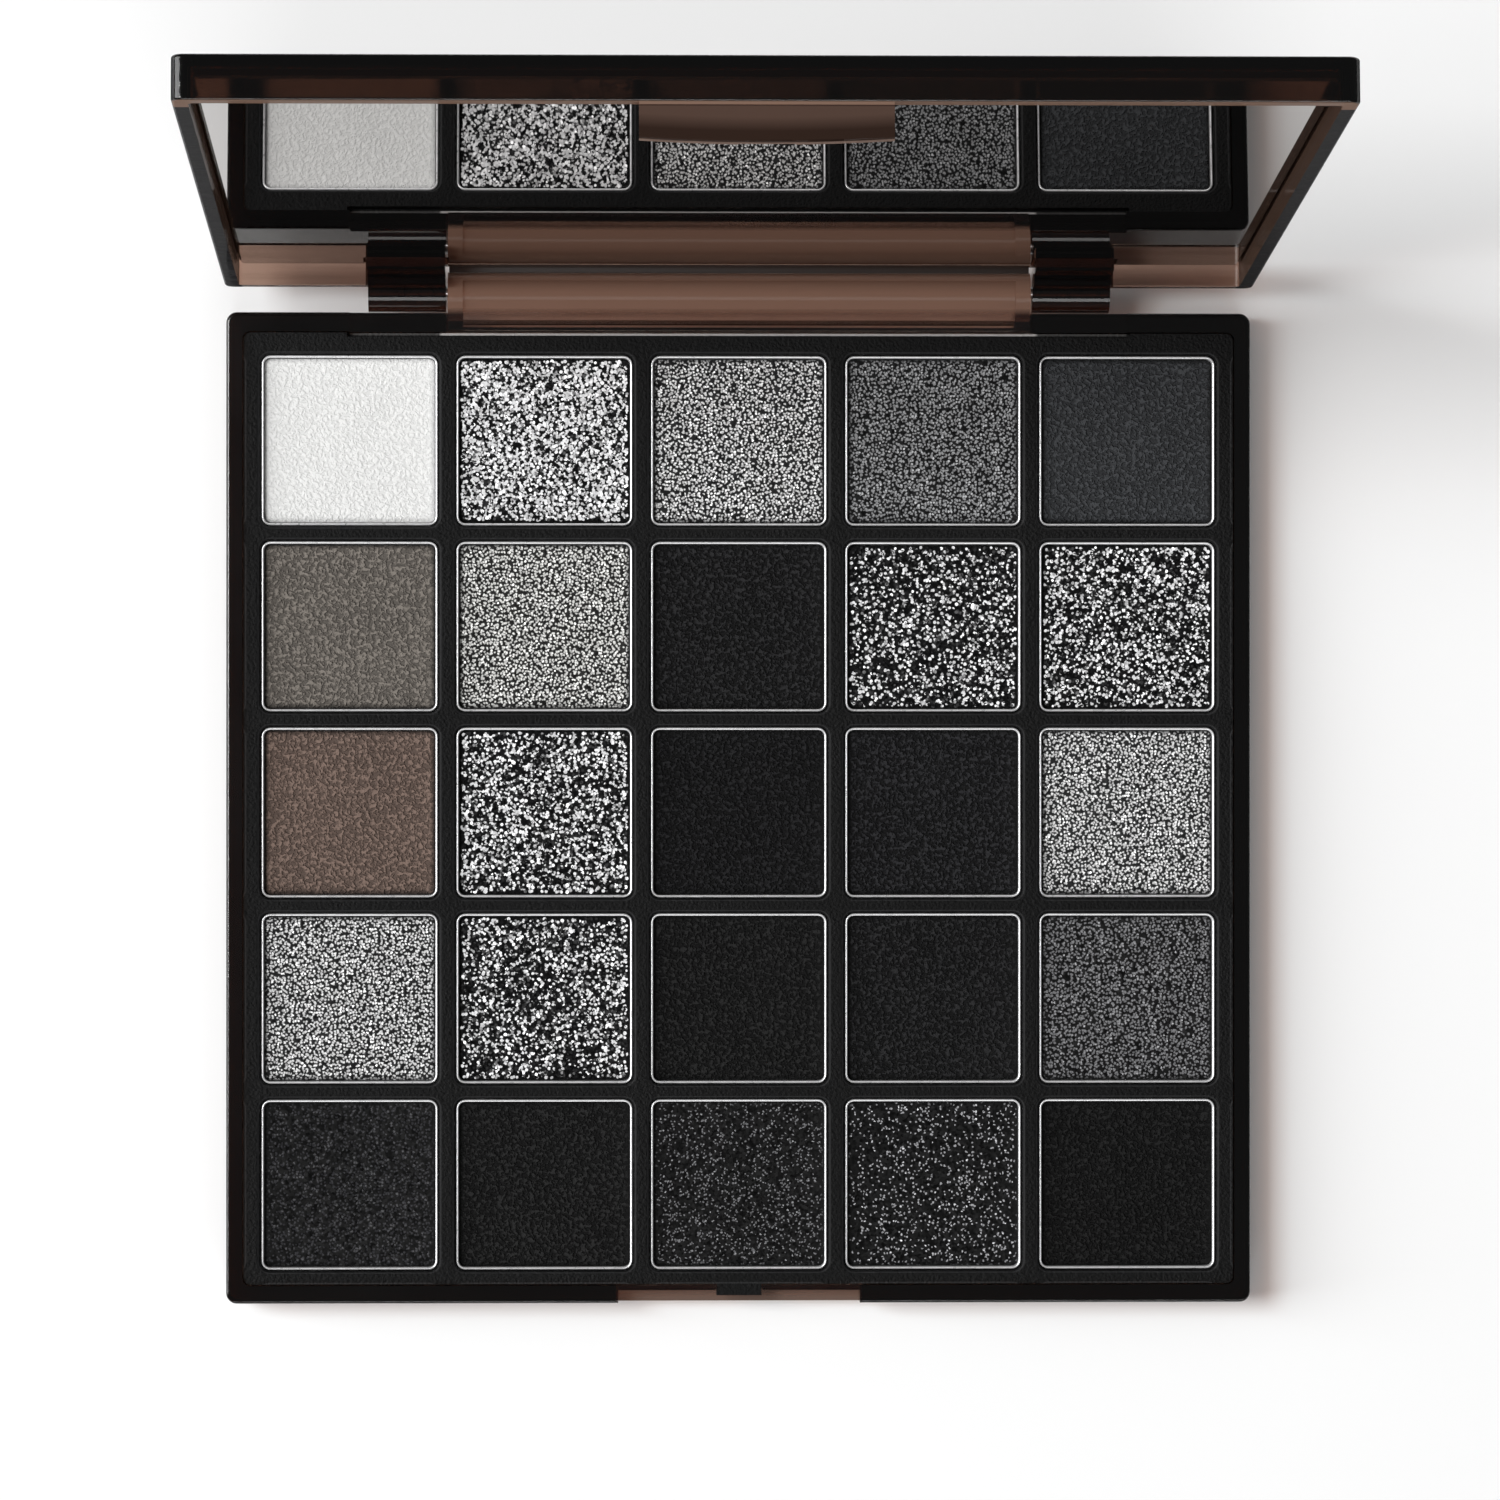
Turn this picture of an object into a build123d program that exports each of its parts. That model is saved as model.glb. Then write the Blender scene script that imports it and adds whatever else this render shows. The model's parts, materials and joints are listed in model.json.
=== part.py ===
from build123d import *
import math
import os

# Eyeshadow palette: a smoke-brown case with five rows of five pressed powders and a mirror in its lid.
# Millimetres. The origin is the middle of the flat underside, with +Z up, the latch at -Y and the hinge at +Y.
# The lid is drawn closed and then swung back on its hinge to its stop, where it stands open.

# Case
case_w = 150.0
case_d = 145.0
base_h = 10.0
lid_h = 6.0
corner_r = 1.6
edge_r = 0.45
parting_gap = 0.2

# Base shell
floor_t = 1.6
rim_side = 2.35
rim_front = 2.6
rim_back = 2.8
cavity_r = 1.2

# Powders: the grid, counted from the back row and from the left
rows = 5
columns = 5
pitch_x = 28.5
pitch_y = 27.25
grid_y = -0.7
pan_w = 25.8
pan_d = 24.9
pan_h = 3.2
pan_wall = 0.4
pan_r = 1.3
pan_gap = 0.15
powder_gap = 0.05
powder_t = 2.4
glue_r = 4.0
glue_t = 0.2

# Tray that holds the pans
tray_gap = 0.15
tray_sink = 0.6
tray_floor_t = 1.0
pan_sink = 0.8
shoulder_r = 0.55
skirt_t = 1.2
boss_r = 2.2
boss_bore_r = 1.0

# Hinge
open_angle = 95.5
hinge_y = case_d / 2 + 3.0
hinge_z = base_h + parting_gap / 2
barrel_r = 2.8
pin_r = 0.8
pin_clearance = 0.05
pin_grip = 4.0
pin_boss_r = 1.9
block_w = 85.2
arm_gap = 0.25
arm_w = 11.35
notch_w = 114.0
notch_z = 8.4
block_front_y = case_d / 2 - 2.6
block_front_z = 9.6
pocket_depth = 0.5
pocket_end_t = 2.2
pocket_front_t = 0.6
pocket_back_t = 1.3
bridge_t = 2.2
bridge_front_t = 1.2
heel_reach = 2.92
heel_drop = 2.4

# Latch
recess_w = 35.4
recess_depth = 1.9
recess_z = 4.9
tab_w = 32.2
tab_t = 1.7
tab_drop = 4.75
tab_bow = 0.5
tongue_w = 6.6
tongue_t = 1.4
tongue_reach = 0.8
tongue_gap = 0.15

# Lid, from its parting face to its outer face
lid_wall = 2.1
mirror_sink = 3.1
mirror_t = 1.2
mirror_gap = 0.2
mirror_bevel = 0.35
tape_t = 0.3
tape_w = 138.0
tape_d = 124.0
boss_in = 5.5
boss_step = 1.4

# Label on the underside
label_w = 44.0
label_d = 22.0
label_t = 0.15
label_sink = 0.3
label_y = -36.0

# Levels and places worked out from the sizes above
cavity_w = case_w - 2 * rim_side
cavity_d = case_d - rim_front - rim_back
cavity_y = (rim_front - rim_back) / 2
tray_w = cavity_w - 2 * tray_gap
tray_d = cavity_d - 2 * tray_gap
tray_top = base_h - tray_sink
pan_top = tray_top - pan_sink
pan_bottom = pan_top - pan_h
well_floor = pan_bottom - glue_t
tray_bottom = well_floor - tray_floor_t
lid_bottom = base_h + parting_gap
lid_top = lid_bottom + lid_h
mirror_z = lid_bottom + mirror_sink
tape_z = mirror_z + mirror_t
plate_z = tape_z + tape_t
back_y = case_d / 2
front_y = -case_d / 2
arm_x = block_w / 2 + arm_gap + arm_w / 2
mirror_w = case_w - 2 * lid_wall - 2 * mirror_gap
mirror_d = case_d - 2 * lid_wall - 2 * mirror_gap

hinge_line = Axis((0, hinge_y, hinge_z), (1, 0, 0))


def plate(width, depth, height, radius):
    """A flat block with round corners, standing on Z 0."""
    return extrude(RectangleRounded(width, depth, radius), height)


def span(x0, x1, y0, y1, z0, z1):
    """A plain box between two values on each axis."""
    middle = Pos((x0 + x1) / 2, (y0 + y1) / 2, (z0 + z1) / 2)
    return middle * Box(x1 - x0, y1 - y0, z1 - z0)


def across(shape, width):
    """A face drawn in the YZ plane, made into a bar of this width with its middle at X 0."""
    return extrude(shape, width / 2, dir=(1, 0, 0), both=True)


def rod(radius, x0, x1):
    """A round bar on the hinge line."""
    return Pos((x0 + x1) / 2, hinge_y, hinge_z) * Rot(0, 90, 0) * Cylinder(radius, x1 - x0)


def softened(block):
    """A case half with its long outer edges rounded."""
    faces = block.faces().sort_by(Axis.Z)
    return fillet(faces[0].edges() + faces[-1].edges(), edge_r)


def swing_open(shape):
    """Moves a closed lid piece to where it stands open."""
    return shape.rotate(hinge_line, -open_angle)


def slope_touch(radius, front_z):
    """Where a slope up from the tray's edge meets a round bar on the hinge line, as its angle and its Y and Z."""
    dy = block_front_y - hinge_y
    dz = front_z - hinge_z
    turn = math.atan2(dz, dy) % math.tau - math.acos(radius / math.hypot(dy, dz))
    return turn, hinge_y + radius * math.cos(turn), hinge_z + radius * math.sin(turn)


def over_bar(radius, turn):
    """The arc over a round bar on the hinge line, from the slope's touch to its back."""
    start = (0, hinge_y + radius * math.cos(turn), hinge_z + radius * math.sin(turn))
    middle = (0, hinge_y + radius * math.cos(turn / 2), hinge_z + radius * math.sin(turn / 2))
    end = (0, hinge_y + radius, hinge_z)
    return ThreePointArc(start, middle, end)


def hinge_profile(radius, front_z):
    """The side view of the long hinge block: a slope up from the tray's edge, round the barrel and back down."""
    turn, touch_y, touch_z = slope_touch(radius, front_z)
    behind = (0, hinge_y + radius, hinge_z)
    below = (0, hinge_y, hinge_z - radius)
    under = (0, hinge_y + radius * math.sqrt(0.5), hinge_z - radius * math.sqrt(0.5))
    foot_z = hinge_z - radius - 2.2
    outline = [
        Line((0, block_front_y, front_z), (0, touch_y, touch_z)),
        over_bar(radius, turn),
        ThreePointArc(behind, under, below),
        *Polyline(below, (0, back_y - 1.0, foot_z), (0, block_front_y, foot_z), (0, block_front_y, front_z)).edges(),
    ]
    return make_face(outline)


def hinge_block():
    """The long middle part of the hinge, with a shallow pocket along its top. Drawn solid."""
    solid = across(hinge_profile(barrel_r, block_front_z), block_w)
    core = across(hinge_profile(barrel_r - pocket_depth, block_front_z - pocket_depth), block_w)
    half = block_w / 2 - pocket_end_t
    front = block_front_y + pocket_front_t
    back = hinge_y + barrel_r - pocket_back_t
    pocket = span(-half, half, front, back, hinge_z, hinge_z + 2 * barrel_r) - core
    return solid - pocket


def bridge_hollow():
    """The space under the hinge block, open below, which leaves the block as a thin bridge between its ends."""
    half = block_w / 2 - pocket_end_t
    radius = barrel_r - bridge_t
    front_z = block_front_z - 1.2 * bridge_t
    turn, touch_y, touch_z = slope_touch(radius, front_z)
    front = back_y - rim_back + bridge_front_t
    rise = (touch_z - front_z) / (touch_y - block_front_y)
    top = (0, front, front_z + rise * (front - block_front_y))
    back = hinge_y + radius
    outline = [
        Line(top, (0, touch_y, touch_z)),
        over_bar(radius, turn),
        *Polyline((0, back, hinge_z), (0, back, -1), (0, front, -1), top).edges(),
    ]
    hollow = across(make_face(outline), 2 * half)
    for side in (-1, 1):
        end = side * block_w / 2
        hollow -= rod(pin_boss_r, min(end, end - side * pin_grip), max(end, end - side * pin_grip))
    return hollow


def base_shell():
    """The lower half of the case, with the hinge block on its back wall and the thumb recess in front."""
    shell = softened(plate(case_w, case_d, base_h, corner_r))
    shell -= Pos(0, cavity_y, floor_t) * plate(cavity_w, cavity_d, base_h, cavity_r)
    shell -= span(-notch_w / 2, notch_w / 2, back_y - rim_back - 0.1, back_y + 1, notch_z, base_h + 1)
    block = hinge_block()
    shell += block - span(-case_w, case_w, 0, back_y - rim_back, 0, 2 * base_h)
    shell -= bridge_hollow()
    for side in (-1, 1):
        end = side * block_w / 2
        shell -= rod(pin_r, min(end, end - side * pin_grip), max(end, end - side * pin_grip))
    half = recess_w / 2
    shell -= span(-half, half, front_y - 1, front_y + recess_depth, recess_z, base_h + 1)
    slot = tongue_w / 2 + tongue_gap
    shell -= span(-slot, slot, front_y, front_y + rim_front + 0.1, tray_top - tongue_t - tongue_gap, base_h + 1)
    shell -= Pos(0, label_y, 0) * plate(label_w + 0.4, label_d + 0.4, label_sink, corner_r)
    return shell


def pan_places():
    """Each pan's row, column and middle, from the back left corner."""
    for row in range(1, rows + 1):
        for column in range(1, columns + 1):
            x = (column - (columns + 1) / 2) * pitch_x
            y = grid_y - (row - (rows + 1) / 2) * pitch_y
            yield row, column, x, y


def pan_tray():
    """The black tray: a plate with a well for each pan, on a skirt and bosses that stand on the base floor."""
    tray = Pos(0, cavity_y, tray_bottom) * plate(tray_w, tray_d, tray_top - tray_bottom, cavity_r - tray_gap)
    well = plate(pan_w + 2 * pan_gap, pan_d + 2 * pan_gap, pan_h + pan_sink + glue_t, pan_r + pan_gap)
    wells = [Pos(x, y, well_floor) * well for row, column, x, y in pan_places()]
    tray -= wells
    top = tray.faces().sort_by(Axis.Z)[-1]
    mouths = [edge for wire in top.inner_wires() for edge in wire.edges()]
    tray = fillet(mouths, shoulder_r)
    half = notch_w / 2 + 0.4
    tray -= span(-half, half, cavity_y + tray_d / 2 - 0.6, back_y, tray_top - 1.6, base_h)
    skirt = plate(tray_w, tray_d, tray_bottom - floor_t, cavity_r - tray_gap)
    skirt -= plate(tray_w - 2 * skirt_t, tray_d - 2 * skirt_t, tray_bottom - floor_t, 0.5)
    tray += Pos(0, cavity_y, floor_t) * skirt
    boss = Cylinder(boss_r, tray_bottom - floor_t) - Cylinder(boss_bore_r, tray_bottom - floor_t)
    boss_z = (tray_bottom + floor_t) / 2
    for x in (-1.5 * pitch_x, -0.5 * pitch_x, 0.5 * pitch_x, 1.5 * pitch_x):
        for y in (-1.5 * pitch_y, 0.5 * pitch_y):
            tray += Pos(x, grid_y + y, boss_z) * boss
    tray_front = cavity_y - tray_d / 2
    tip = front_y + recess_depth - tongue_reach
    tray += span(-tongue_w / 2, tongue_w / 2, tip, tray_front + 0.5, tray_top - tongue_t, tray_top)
    return tray


def pan():
    """One metal pan, open at the top."""
    inner_w = pan_w - 2 * pan_wall
    inner_d = pan_d - 2 * pan_wall
    solid = plate(pan_w, pan_d, pan_h, pan_r)
    return solid - Pos(0, 0, pan_wall) * plate(inner_w, inner_d, pan_h, pan_r - pan_wall)


def powder():
    """One pressed powder, the shape of its pan's inside and a little lower than the pan's lip."""
    side = 2 * (pan_wall + powder_gap)
    return plate(pan_w - side, pan_d - side, powder_t, pan_r - pan_wall - powder_gap)


def tab():
    """The thumb tab on the lid's front edge, with a bowed lower edge and a groove for the tray's tongue."""
    outer = front_y + 0.15
    half = tab_w / 2
    low = lid_bottom - tab_drop
    root = lid_bottom + 1.0
    sides = Polyline((-half, 0, low), (-half, 0, root), (half, 0, root), (half, 0, low))
    bow = ThreePointArc((half, 0, low), (0, 0, low - tab_bow), (-half, 0, low))
    face = make_face([*sides.edges(), bow])
    solid = extrude(face, tab_t, dir=(0, 1, 0))
    solid = fillet(solid.edges().filter_by(lambda e: e.center().Z < low + 0.1 and e.length > half), 0.4)
    solid = Pos(0, outer, 0) * solid
    groove = tongue_w / 2 + 2 * tongue_gap
    depth = outer + tab_t - (front_y + recess_depth - tongue_reach - tongue_gap)
    inner = outer + tab_t
    return solid - span(-groove, groove, inner - depth, inner + 1, low - 1, lid_bottom)


def hinge_arm(side):
    """One lid arm: a boss inside the lid's back wall, a knuckle on the hinge line and a heel that stops the lid."""
    x0 = side * arm_x - arm_w / 2
    x1 = side * arm_x + arm_w / 2
    inner_y = back_y - lid_wall
    arm = rod(barrel_r, x0, x1)
    arm += span(x0, x1, back_y - 0.5, hinge_y, lid_bottom, hinge_z + barrel_r)
    arm += span(x0, x1, inner_y - 1.2, back_y - 0.5, lid_bottom, plate_z + 0.2)
    arm += span(x0, x1, inner_y - boss_in, inner_y, lid_bottom + boss_step, plate_z + 0.2)
    heel = span(x0, x1, hinge_y - heel_reach, hinge_y, hinge_z - heel_drop, hinge_z)
    heel = heel.rotate(hinge_line, open_angle)
    arm += heel
    return arm


def lid_shell():
    """The lid's moulding: outer plate, rim, thumb tab and two hinge arms. Drawn closed."""
    shell = Pos(0, 0, lid_bottom) * softened(plate(case_w, case_d, lid_h, corner_r))
    inner_w = case_w - 2 * lid_wall
    inner_d = case_d - 2 * lid_wall
    shell -= Pos(0, 0, lid_bottom) * plate(inner_w, inner_d, plate_z - lid_bottom, 0.8)
    half = block_w / 2 + arm_gap
    shell -= span(-half, half, back_y - lid_wall - 0.2, back_y + 1, lid_bottom - 1, mirror_z)
    for side in (-1, 1):
        shell += hinge_arm(side)
        x0 = side * arm_x - arm_w / 2
        shell -= rod(pin_r + pin_clearance, x0, x0 + arm_w)
    shell += tab()
    return shell


def mirror():
    """The glass, with bevelled edges and two notches round the hinge bosses. Drawn closed."""
    glass = Pos(0, 0, mirror_z) * plate(mirror_w, mirror_d, mirror_t, 0.6)
    edge = back_y - lid_wall
    half = arm_w / 2 + mirror_gap
    for side in (-1, 1):
        x = side * arm_x
        glass -= span(x - half, x + half, edge - boss_in - mirror_gap, edge + 1, mirror_z - 1, tape_z + 1)
    face = glass.faces().sort_by(Axis.Z)[0]
    return chamfer(face.edges(), mirror_bevel)


def mirror_tape():
    """The sheet of double-sided tape behind the glass. Drawn closed."""
    return Pos(0, -3.0, tape_z) * plate(tape_w, tape_d, tape_t, 4.0)


def hinge_pin(side):
    """One steel pin, pressed into the hinge block, on which a lid arm turns."""
    inner = side * (block_w / 2 - pin_grip)
    outer = side * (arm_x + arm_w / 2 - 0.2)
    return rod(pin_r, min(inner, outer), max(inner, outer))


def bottom_label():
    """A blank label in its recess in the underside."""
    return Pos(0, label_y, label_sink - label_t) * plate(label_w, label_d, label_t, corner_r - 0.2)


def pan_glue_dots():
    """A dot of glue under each pan."""
    dot = Cylinder(glue_r, glue_t)
    return Compound([Pos(x, y, pan_bottom - glue_t / 2) * dot for row, column, x, y in pan_places()])


nodes = {
    "base_shell": base_shell(),
    "pan_tray": pan_tray(),
    "pan_glue_dots": pan_glue_dots(),
    "bottom_label": bottom_label(),
    "hinge_pin_left": hinge_pin(-1),
    "hinge_pin_right": hinge_pin(1),
    "lid_shell": swing_open(lid_shell()),
    "mirror": swing_open(mirror()),
    "mirror_tape": swing_open(mirror_tape()),
}
for row, column, x, y in pan_places():
    nodes[f"pan_row{row}_col{column}"] = Pos(x, y, pan_bottom) * pan()
    nodes[f"powder_row{row}_col{column}"] = Pos(x, y, pan_bottom + pan_wall) * powder()

os.makedirs("parts", exist_ok=True)
for name, shape in nodes.items():
    export_step(shape, f"parts/{name}.step")
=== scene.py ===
import json
import math
import random

import bmesh
import bpy
from mathutils import Euler, Matrix, Vector, noise


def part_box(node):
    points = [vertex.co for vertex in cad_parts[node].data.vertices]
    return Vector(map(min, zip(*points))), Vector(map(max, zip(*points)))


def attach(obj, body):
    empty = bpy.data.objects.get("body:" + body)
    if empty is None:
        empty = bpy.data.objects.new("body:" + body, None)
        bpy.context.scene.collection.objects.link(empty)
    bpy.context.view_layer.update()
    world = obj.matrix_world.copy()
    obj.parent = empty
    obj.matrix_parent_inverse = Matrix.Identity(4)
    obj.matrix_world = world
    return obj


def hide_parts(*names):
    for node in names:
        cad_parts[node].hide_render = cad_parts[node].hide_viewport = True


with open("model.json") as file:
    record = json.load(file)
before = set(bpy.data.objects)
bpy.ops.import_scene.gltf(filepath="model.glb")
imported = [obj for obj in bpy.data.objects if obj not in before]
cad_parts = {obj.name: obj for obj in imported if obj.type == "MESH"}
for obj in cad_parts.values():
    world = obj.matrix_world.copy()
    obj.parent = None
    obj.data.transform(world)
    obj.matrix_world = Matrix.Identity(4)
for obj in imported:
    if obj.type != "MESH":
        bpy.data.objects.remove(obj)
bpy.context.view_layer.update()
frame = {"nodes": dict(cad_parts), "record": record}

mm = 0.001
nodes = frame["nodes"]
slots = {s["node"]: s["material_slot"] for s in frame["record"]["subparts"]}
colours = {m["slot"]: m["base_color"] for m in frame["record"]["materials"]}
base_low, base_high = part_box("base_shell")

# The case's own places
half_width = 75.0 * mm
hinge_y = 75.5 * mm
hinge_z = 10.1 * mm
open_lean = math.radians(5.5)
lean_back = math.tan(open_lean)
arm_middle = 48.5 * mm
arm_half = 6.0 * mm
arm_top = 7.5 * mm
block_half = 43.0 * mm
recess_half = 18.0 * mm
free_edge = 142.9 * mm
tab_half = 16.1 * mm
tab_drop = 4.75 * mm
tab_bow = 0.5 * mm
pan_corner = 1.3 * mm


# ---------------------------------------------------------------- node helpers

def new_material(name):
    """An empty material with its output, ready for a shader."""
    material = bpy.data.materials.new(name)
    material.use_nodes = True
    tree = material.node_tree
    tree.nodes.clear()
    output = tree.nodes.new("ShaderNodeOutputMaterial")
    return material, tree, output


def add(tree, kind, inputs=None, **settings):
    """One node with its settings. An input's value is a constant or another node's output."""
    node = tree.nodes.new("ShaderNode" + kind)
    for name, value in settings.items():
        setattr(node, name, value)
    for name, value in (inputs or {}).items():
        if isinstance(value, bpy.types.NodeSocket):
            tree.links.new(value, node.inputs[name])
        else:
            node.inputs[name].default_value = value
    return node


def own_place(tree, scale=1.0):
    """The piece's own coordinates in millimetres, stretched by a Mapping node."""
    place = add(tree, "TexCoord")
    stretch = scale if isinstance(scale, tuple) else (scale, scale, scale)
    stretch = tuple(s / mm for s in stretch)
    mapping = add(tree, "Mapping", {"Vector": place.outputs["Object"], "Scale": stretch})
    return mapping.outputs["Vector"]


def new_group(name, inputs, outputs):
    """An empty node group with named inputs and outputs, and its two end nodes."""
    tree = bpy.data.node_groups.new(name, "ShaderNodeTree")
    for label, kind, value in inputs:
        socket = tree.interface.new_socket(name=label, in_out="INPUT", socket_type=kind)
        if value is not None:
            socket.default_value = value
    for label, kind in outputs:
        tree.interface.new_socket(name=label, in_out="OUTPUT", socket_type=kind)
    start = tree.nodes.new("NodeGroupInput")
    end = tree.nodes.new("NodeGroupOutput")
    return tree, start, end


def use_group(tree, group, inputs):
    """Places a node group in a material with its own values."""
    node = tree.nodes.new("ShaderNodeGroup")
    node.node_tree = group
    for name, value in inputs.items():
        if isinstance(value, bpy.types.NodeSocket):
            tree.links.new(value, node.inputs[name])
        else:
            node.inputs[name].default_value = value
    return node


def math_node(tree, operation, a, b=0.0):
    """One sum on two values, each a number or another node's output."""
    node = add(tree, "Math", operation=operation)
    for index, value in enumerate((a, b)):
        if isinstance(value, bpy.types.NodeSocket):
            tree.links.new(value, node.inputs[index])
        else:
            node.inputs[index].default_value = value
    return node.outputs[0]


def both(tree, a, b):
    """Where two masks overlap."""
    return math_node(tree, "MULTIPLY", a, b)


def either(tree, a, b):
    """Where at least one of two masks is."""
    return math_node(tree, "MAXIMUM", a, b)


def outside(tree, mask):
    """Everywhere that a mask isn't."""
    return math_node(tree, "SUBTRACT", 1.0, mask)


def above_value(tree, value, least):
    return math_node(tree, "GREATER_THAN", value, least)


def below_value(tree, value, most):
    return math_node(tree, "LESS_THAN", value, most)


def remap(tree, value, low, high, to_low, to_high):
    """A value's ramp from one range to another, held at its ends."""
    node = add(tree, "MapRange", {"Value": value, "From Min": low, "From Max": high,
                                  "To Min": to_low, "To Max": to_high})
    return node.outputs["Result"]


def mix_colour(tree, share, first, second):
    """The first colour turning into the second as share goes from 0 to 1."""
    node = tree.nodes.new("ShaderNodeMix")
    node.data_type = "RGBA"
    for index, value in ((0, share), (6, first), (7, second)):
        if isinstance(value, bpy.types.NodeSocket):
            tree.links.new(value, node.inputs[index])
        else:
            node.inputs[index].default_value = value
    return node.outputs[2]


def rgba(colour, strength=1.0):
    """A colour with its alpha, made lighter or darker."""
    return (colour[0] * strength, colour[1] * strength, colour[2] * strength, 1.0)


# ---------------------------------------------------------------- shared effects

def make_moulded_grain():
    """Fine spark-eroded grain on moulded plastic, with faint handling smudges."""
    tree, start, end = new_group(
        "moulded grain",
        [("Place", "NodeSocketVector", None), ("Grain", "NodeSocketFloat", 4.0)],
        [("Height", "NodeSocketFloat"), ("Smudge", "NodeSocketFloat")],
    )
    fine = add(tree, "TexNoise", {"Vector": start.outputs["Place"], "Scale": start.outputs["Grain"],
                                  "Detail": 3.0, "Roughness": 0.6})
    cells = add(tree, "TexVoronoi", {"Vector": start.outputs["Place"], "Scale": start.outputs["Grain"]},
                feature="SMOOTH_F1")
    height = math_node(tree, "MULTIPLY_ADD", cells.outputs["Distance"], 0.6)
    tree.links.new(fine.outputs["Fac"], height.node.inputs[2])
    smudge = add(tree, "TexNoise", {"Vector": start.outputs["Place"], "Scale": 0.05, "Detail": 4.0})
    tree.links.new(height, end.inputs["Height"])
    tree.links.new(smudge.outputs["Fac"], end.inputs["Smudge"])
    return tree


def make_pressed_powder():
    """The leathery grain of pressed powder: soft winding creases, fine tooth, and a slow drift of tone."""
    tree, start, end = new_group(
        "pressed powder",
        [("Place", "NodeSocketVector", None), ("Crease", "NodeSocketFloat", 1.2)],
        [("Height", "NodeSocketFloat"), ("Tone", "NodeSocketFloat")],
    )
    winding = add(tree, "TexNoise", {"Vector": start.outputs["Place"], "Scale": start.outputs["Crease"],
                                     "Detail": 1.0, "Roughness": 0.5, "Distortion": 0.5})
    relief = remap(tree, winding.outputs["Fac"], 0.40, 0.60, 0.0, 1.0)
    tooth = add(tree, "TexNoise", {"Vector": start.outputs["Place"], "Scale": 6.0, "Detail": 3.0,
                                   "Roughness": 0.65})
    drift = add(tree, "TexNoise", {"Vector": start.outputs["Place"], "Scale": 0.12, "Detail": 4.0,
                                   "Roughness": 0.6})
    height = math_node(tree, "MULTIPLY_ADD", tooth.outputs["Fac"], 0.25)
    tree.links.new(relief, height.node.inputs[2])
    tone = math_node(tree, "MULTIPLY_ADD", relief, 0.55)
    tree.links.new(math_node(tree, "MULTIPLY", drift.outputs["Fac"], 0.45), tone.node.inputs[2])
    tree.links.new(height, end.inputs["Height"])
    tree.links.new(tone, end.inputs["Tone"])
    return tree


def make_pearl_flakes():
    """Tiny pearl flakes pressed into a powder: each lies at its own tilt and has its own brightness."""
    tree, start, end = new_group(
        "pearl flakes",
        [("Place", "NodeSocketVector", None), ("Size", "NodeSocketFloat", 2.4),
         ("Tilt", "NodeSocketFloat", 0.6), ("Share", "NodeSocketFloat", 0.5)],
        [("Normal", "NodeSocketVector"), ("Flake", "NodeSocketFloat"), ("Tone", "NodeSocketFloat"),
         ("Crown", "NodeSocketFloat")],
    )
    sway = add(tree, "TexNoise", {"Vector": start.outputs["Place"], "Scale": 3.0, "Detail": 1.0})
    moved = add(tree, "VectorMath", {0: sway.outputs["Color"], 1: (0.4, 0.4, 0.4),
                                     2: start.outputs["Place"]}, operation="MULTIPLY_ADD")
    cells = add(tree, "TexVoronoi", {"Vector": moved.outputs[0], "Scale": start.outputs["Size"]},
                voronoi_dimensions="2D")
    centred = add(tree, "VectorMath", {0: cells.outputs["Color"], 1: (0.5, 0.5, 0.5)}, operation="SUBTRACT")
    flat = add(tree, "VectorMath", {0: centred.outputs[0], 1: (2.0, 2.0, 0.0)}, operation="MULTIPLY")
    tilted = add(tree, "VectorMath", {0: flat.outputs[0]}, operation="SCALE")
    tree.links.new(start.outputs["Tilt"], tilted.inputs["Scale"])
    surface = add(tree, "NewGeometry")
    leaning = add(tree, "VectorMath", {0: surface.outputs["Normal"], 1: tilted.outputs[0]}, operation="ADD")
    normal = add(tree, "VectorMath", {0: leaning.outputs[0]}, operation="NORMALIZE")
    split = add(tree, "SeparateColor", {"Color": cells.outputs["Color"]})
    flake = below_value(tree, split.outputs["Blue"], start.outputs["Share"])
    tree.links.new(normal.outputs[0], end.inputs["Normal"])
    tree.links.new(flake, end.inputs["Flake"])
    tree.links.new(split.outputs["Red"], end.inputs["Tone"])
    tree.links.new(remap(tree, cells.outputs["Distance"], 0.31, 0.43, 1.0, 0.0), end.inputs["Crown"])
    return tree


moulded_grain = make_moulded_grain()
pressed_powder = make_pressed_powder()
pearl_flakes = make_pearl_flakes()


# ---------------------------------------------------------------- materials

smoke_tint = (0.528, 0.311, 0.178, 1.0)
lamp_tint = (0.80, 0.70, 0.64, 1.0)


def painted_lid_highlight(tree, edge, behind, outer):
    """A painted highlight: a fine copper line along the lid's free edge, at its parting face, where its
    rounded edge catches the light.
    """
    painted_highlight = both(tree, edge, remap(tree, behind, 0.10 * mm, 0.28 * mm, 0.8, 0.0))
    painted_highlight = both(tree, painted_highlight, above_value(tree, behind, -0.25 * mm))
    return both(tree, painted_highlight, outside(tree, outer))


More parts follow.
